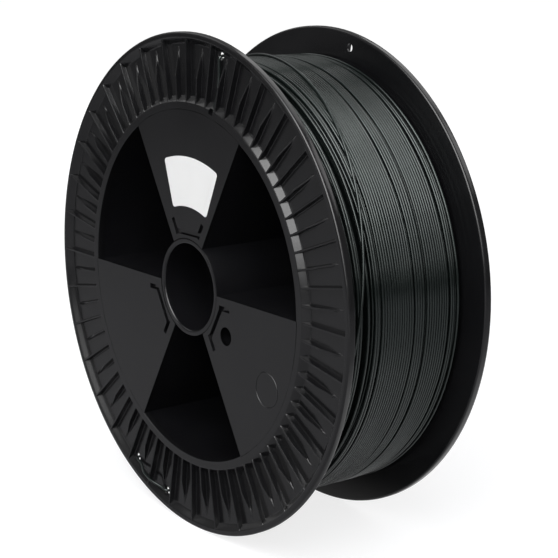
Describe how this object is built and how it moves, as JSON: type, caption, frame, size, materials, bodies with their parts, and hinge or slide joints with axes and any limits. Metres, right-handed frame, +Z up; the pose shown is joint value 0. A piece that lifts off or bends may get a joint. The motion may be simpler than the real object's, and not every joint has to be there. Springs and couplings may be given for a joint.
{
  "type": "filament spool",
  "caption": "Large flanged spool with ribbed flanges, a round spindle bore, a drive hole and a wound load of 3-D printer filament.",
  "frame": {"origin": "centre of the bore, at the middle of the spool's width", "axes": "Y along the spool's axis with the labelled front facing -Y, X to the right seen from the front, Z up"},
  "size_m": [0.3, 0.1054, 0.3],
  "materials": {
    "flange_plastic": "satin black moulded polystyrene",
    "core_plastic": "satin black moulded polystyrene",
    "filament": "glossy dark grey thermoplastic strand",
    "label_paper": "blank white self-adhesive paper"
  },
  "bodies": {
    "root": {"front_flange": "flange_plastic", "rear_flange": "flange_plastic", "core": "core_plastic", "filament_pack": "filament", "filament_outer_turns": "filament", "filament_tail_end": "filament", "filament_start_end": "filament", "label": "label_paper"}
  },
  "joints": []
}
